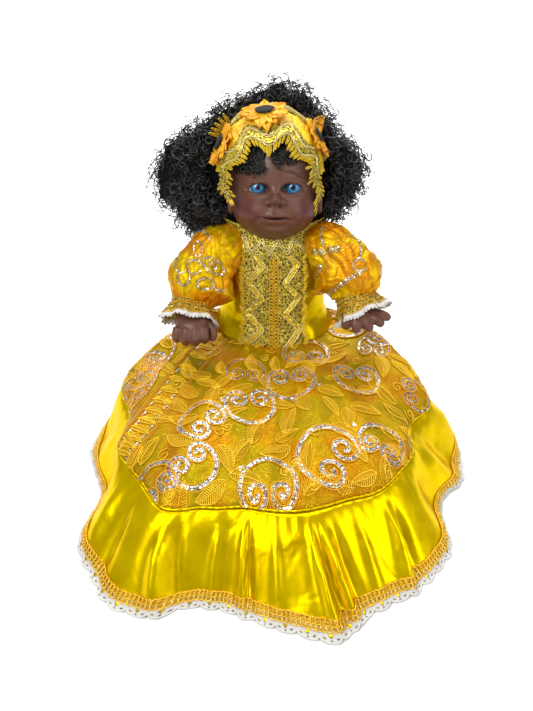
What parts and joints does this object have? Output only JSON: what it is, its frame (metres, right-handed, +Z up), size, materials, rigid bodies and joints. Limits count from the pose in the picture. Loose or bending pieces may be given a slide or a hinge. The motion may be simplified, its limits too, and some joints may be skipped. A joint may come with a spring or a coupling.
{
  "type": "dressed doll",
  "caption": "Seated vinyl baby doll with a curly wig, flower headband and a wide two-tier satin and lace dress.",
  "frame": {"origin": "on the surface that the doll sits on, under the middle of its body", "axes": "+Z up, -Y the way the doll faces, +X to the doll's left"},
  "size_m": [0.4468, 0.4907, 0.3766],
  "materials": {
    "vinyl": "satin",
    "eye_glaze": "gloss",
    "hair": "satin",
    "yellow_satin": "satin",
    "embroidered_net": "satin",
    "gold_lace": "satin",
    "orange_fabric": "satin",
    "black_felt": "matte",
    "white_lace": "matte"
  },
  "bodies": {
    "root": {"skirt_upper": "embroidered_net", "skirt_ruffle": "yellow_satin", "hem_braid": "gold_lace", "hem_lace": "white_lace", "bodice": "yellow_satin", "collar": "gold_lace", "plastron": "gold_lace", "head": "vinyl", "eye_right": "eye_glaze", "eye_left": "eye_glaze", "wig": "hair", "headband": "orange_fabric", "headband_lace": "gold_lace", "headband_back_lace": "gold_lace", "sunflower_centre": "orange_fabric", "sunflower_centre_disc": "black_felt", "sunflower_right": "orange_fabric", "sunflower_right_disc": "black_felt", "sunflower_left": "orange_fabric", "sunflower_left_disc": "black_felt", "arm_right": "vinyl", "arm_left": "vinyl", "sleeve_right": "embroidered_net", "sleeve_left": "embroidered_net", "cuff_right": "gold_lace", "cuff_left": "gold_lace", "cuff_lace_right": "white_lace", "cuff_lace_left": "white_lace"}
  },
  "joints": []
}
